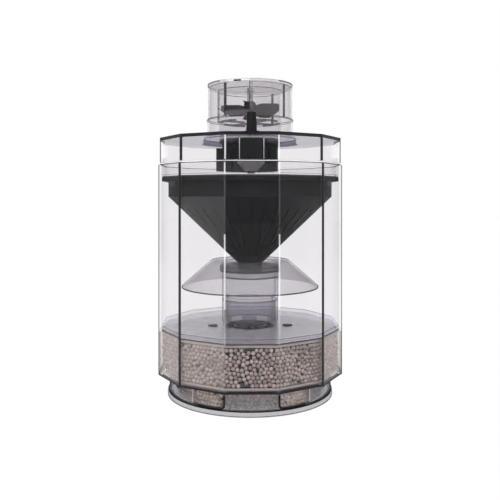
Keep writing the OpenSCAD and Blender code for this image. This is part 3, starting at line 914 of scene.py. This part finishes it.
def add_baffle_edges():
    low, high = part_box("umbrella_baffle")
    # Painted shade lines: dark on the front of the umbrella's edges and the tube collar, grey on the draw
    # tube.
    edge_lines("umbrella_edges", "baffle", "smoke_plastic", "dark",
               [(ring_points(high.x - 0.35 * MM, low.z + 0.45 * MM, 178, 362), 0.45 * MM, False),
                (ring_points(UMBRELLA_TOP_R - 0.2 * MM, high.z - 0.25 * MM, -2, 182), 0.25 * MM, False)])
    low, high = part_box("draw_tube")
    tube_r = high.x
    riser_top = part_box("riser")[1].z
    edge_lines("tube_edges", "baffle", "smoke_plastic", "grey",
               [(ring_points(tube_r - 0.25 * MM, riser_top + 0.6 * MM, 180, 360), 0.25 * MM, False),
                (ring_points(tube_r - 2.2 * MM, low.z + 0.2 * MM), 0.2 * MM, True)])
    low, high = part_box("tube_collar")
    edge_lines("collar_rings", "baffle", "smoke_plastic", "dark",
               [(ring_points(high.x - 0.4 * MM, low.z + 0.75 * MM, 185, 355), 0.75 * MM, False),
                (ring_points(high.x - 0.4 * MM, high.z - 0.3 * MM, 185, 355), 0.25 * MM, False),
                (ring_points(tube_r - 0.2 * MM, low.z - 3.6 * MM, 185, 355), 0.55 * MM, False)])


def add_lid_edges():
    low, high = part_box("lid_skirt")
    skirt_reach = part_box("settling_disc")[1].x
    # Painted light and shade lines: a painted highlight along the front of the lid's step, a faint painted
    # highlight round the skirt, dark painted shade round the hole, grey painted shade on the collar and the
    # duct.
    edge_lines("lid_step_edge", "lid", "clear_plastic", "light",
               [(front_points(high.x - 0.2 * MM, high.z - 0.9 * MM), 0.3 * MM, False)])
    edge_lines("lid_skirt_edge", "lid", "clear_plastic", "faint",
               [(corner_points(skirt_reach - 0.3 * MM, low.z + 0.25 * MM), 0.3 * MM, True)])
    plate_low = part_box("lid_plate")[0]
    edge_lines("lid_hole_edge", "lid", "clear_plastic", "dark",
               [(ring_points(LID_HOLE_R + 0.6 * MM, plate_low.z + 0.1 * MM), 0.25 * MM, True)])
    low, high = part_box("outlet_collar")
    upper_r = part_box("outlet_cup")[1].x + 0.6 * MM
    edge_lines("collar_edges", "lid", "clear_plastic", "grey",
               [(ring_points(upper_r - 0.3 * MM, high.z - 0.3 * MM), 0.22 * MM, True),
                (ring_points(high.x - 0.3 * MM, low.z + 0.3 * MM), 0.3 * MM, True)])
    duct_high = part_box("propeller_duct")[1]
    edge_lines("duct_edge", "lid", "clear_plastic", "grey",
               [(ring_points(duct_high.x - 0.3 * MM, duct_high.z - 0.25 * MM), 0.25 * MM, True)])


def add_block_glints():
    """Two light lines where the clear bracket's ribs stand beside the cable block."""
    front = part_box("motor_housing")[0].y + 0.3 * MM
    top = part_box("lid_plate")[0].z - 0.6 * MM
    lines = []
    for x in (-7.7 * MM, 7.7 * MM):
        rib = [Vector((x, front, top - drop)) for drop in (13.6 * MM, 8.4 * MM, 0)]
        lines.append((rib, 0.42 * MM, False))
    edge_lines("block_glints", "lid", "clear_plastic", "light", lines)


def add_cup_edges():
    """The cup's rim, its four ribs, and the frame of its outlet window at the front left."""
    low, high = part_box("outlet_cup")
    r = high.x
    window_r = r - 0.7 * MM
    window_left, window_right = -126.4, -91.6
    rim_z = high.z - 0.5 * MM
    beads = [
        (ring_points(r - 0.5 * MM, rim_z, -50, 15, 40), 0.5 * MM, False),
        (ring_points(r - 0.5 * MM, rim_z, -195, -135, 40), 0.5 * MM, False),
        (ring_points(r - 0.3 * MM, low.z + 0.3 * MM), 0.25 * MM, True),
    ]
    rim = [
        (ring_points(r - 0.35 * MM, high.z - 0.35 * MM), 0.32 * MM, True),
        (ring_points(r - 1.7 * MM, high.z - 1.9 * MM), 0.7 * MM, True),
    ]
    edges = []
    for k in range(4):
        angle = -127 + 90 * k
        rib_r = r - 1.8 * MM
        soft_rib = upright(angle, rib_r, rib_heights(low, high, 0.4 * MM, 2.0 * MM))
        dark_rib = upright(angle, rib_r, rib_heights(low, high, 0.6 * MM, 2.2 * MM))
        beads.append((soft_rib, 0.95 * MM, False))
        edges.append((dark_rib, 0.4 * MM, False))
    for angle in (window_left, window_right):
        side = upright(angle, window_r, (low.z + 4 * MM, low.z + 12 * MM, high.z - 1.9 * MM))
        edges.append((side, 0.3 * MM, False))
    column = upright(-90, r - 1.5 * MM, (low.z + 5 * MM, low.z + 13 * MM, high.z - 2.2 * MM))
    rim.append((column, 1.35 * MM, False))
    edges.append((ring_points(window_r, low.z + 3.9 * MM, -126, -92, 16), 0.25 * MM, False))
    edges.append((ring_points(window_r, high.z - 1.2 * MM, -112.5, -103, 8), 0.55 * MM, False))
    # Painted light and shade: dark painted shade on the ribs and the window's frame, grey painted shade on
    # the front of the rim and on the ribs, faint painted highlights round the rim and down the front
    # column.
    edge_lines("cup_edges", "cup", "clear_plastic", "dark", edges)
    edge_lines("cup_beads", "cup", "clear_plastic", "grey", beads)
    edge_lines("cup_rim", "cup", "clear_plastic", "faint", rim)


def rib_heights(low, high, above, below):
    """Four heights up a rib of the cup, from above its lower edge to below its top."""
    return low.z + above, low.z + 9 * MM, low.z + 17 * MM, high.z - below


def add_edge_lines():
    add_base_edges()
    add_disc_edges()
    add_baffle_edges()
    add_lid_edges()
    add_cup_edges()
    add_block_glints()


# ---------------------------------------------------------------- impeller and foam


BLADES = 4
BLADE_MIDDLE = 6.5 * MM         # above the hub's lower face
BLADE_HALF_HEIGHT = 4.8 * MM


def add_blade(bm, turn, reach, root, middle, half_height):
    """One twisted, slightly cambered blade as a closed thin shell."""
    along, across = 14, 12
    sides = []
    for sign in (-1, 1):
        grid = []
        for i in range(along + 1):
            u = i / along
            pitch = math.radians(52 - 12 * u)
            chord = (half_height - 0.3 * MM) / math.sin(pitch) * min(1, 0.7 + u)
            row = []
            for j in range(across + 1):
                v = -1 + 2 * j / across
                limit = 1 - 0.35 * max(0, -v) * max(0, u - 0.6) / 0.4
                t = chord * v * (1 - 0.08 * max(0, u - 0.8) / 0.2)
                y = t * math.cos(pitch)
                z = t * math.sin(pitch)
                camber = 0.6 * MM * (1 - v * v)
                thick = 0.75 * MM * (1 - 0.75 * v ** 4) * sign
                y -= (camber + thick) * math.sin(pitch)
                z += (camber + thick) * math.cos(pitch)
                z = max(-half_height + 0.02 * MM, min(half_height - 0.02 * MM, z))
                r = root + (reach - 0.1 * MM - root) * u * limit
                x = math.sqrt(max(r * r - y * y, (root * 0.4) ** 2))
                row.append(bm.verts.new(turn @ Vector((x, -y, z)) + Vector((0, 0, middle))))
            grid.append(row)
        sides.append(grid)
    a, b = sides
    for i in range(along):
        for j in range(across):
            for grid in sides:
                bm.faces.new((grid[i][j], grid[i + 1][j], grid[i + 1][j + 1], grid[i][j + 1]))
    for i in range(along):
        for j in (0, across):
            bm.faces.new((a[i][j], a[i + 1][j], b[i + 1][j], b[i][j]))
    for j in range(across):
        for i in (0, along):
            bm.faces.new((a[i][j], a[i][j + 1], b[i][j + 1], b[i][j]))


def add_impeller():
    low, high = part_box("impeller")
    reach = high.x
    bm = bmesh.new()
    hub = 4.3 * MM
    bore = 1.05 * MM
    lathe(bm, [(bore, low.z), (hub - 0.4 * MM, low.z), (hub, low.z + 0.4 * MM), (hub, high.z - 2.2 * MM),
               (hub - 0.5 * MM, high.z - 1.2 * MM), (hub - 1.6 * MM, high.z - 0.3 * MM),
               (hub - 2.4 * MM, high.z), (bore, high.z)], 64)
    for k in range(BLADES):
        turn = Matrix.Rotation(k * 2 * math.pi / BLADES, 3, "Z")
        add_blade(bm, turn, reach, 3.6 * MM, low.z + BLADE_MIDDLE, BLADE_HALF_HEIGHT)
    piece = mesh_piece("impeller_moulding", bm, "rotor", "grey_plastic")
    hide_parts("impeller")


def add_foam():
    """The foam disc, with soft crowned edges and an open-cell surface."""
    low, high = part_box("filter_pad")
    r = high.x
    bm = bmesh.new()
    soft = 1.6 * MM
    profile = [(0.2 * MM, low.z + 0.2 * MM)]
    for k in range(7):
        t = math.radians(-90 + 15 * k)
        profile.append((r - soft + soft * math.cos(t), low.z + soft + soft * math.sin(t)))
    for k in range(7):
        t = math.radians(15 * k)
        profile.append((r - soft + soft * math.cos(t), high.z - soft + soft * math.sin(t)))
    profile.append((0.2 * MM, high.z - 0.2 * MM))
    lathe(bm, profile, 160)
    spokes = [edge for edge in bm.edges if edge.calc_length() > 20 * MM]
    bmesh.ops.subdivide_edges(bm, edges=spokes, cuts=24, use_grid_fill=True)
    for vert in bm.verts:
        dent = 0.25 * MM * abs(math.sin(vert.co.x * 2300) * math.cos(vert.co.y * 2100 + 1.3))
        vert.co.z += dent if vert.co.z < (low.z + high.z) / 2 else -dent
    piece = mesh_piece("foam_disc", bm, "basket", "filter_foam")
    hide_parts("filter_pad")


add_camera()
add_studio()
set_film()
dress_cad_nodes()
add_balls()
add_barrel()
add_lid()
add_disc()
add_edge_lines()
add_impeller()
add_foam()
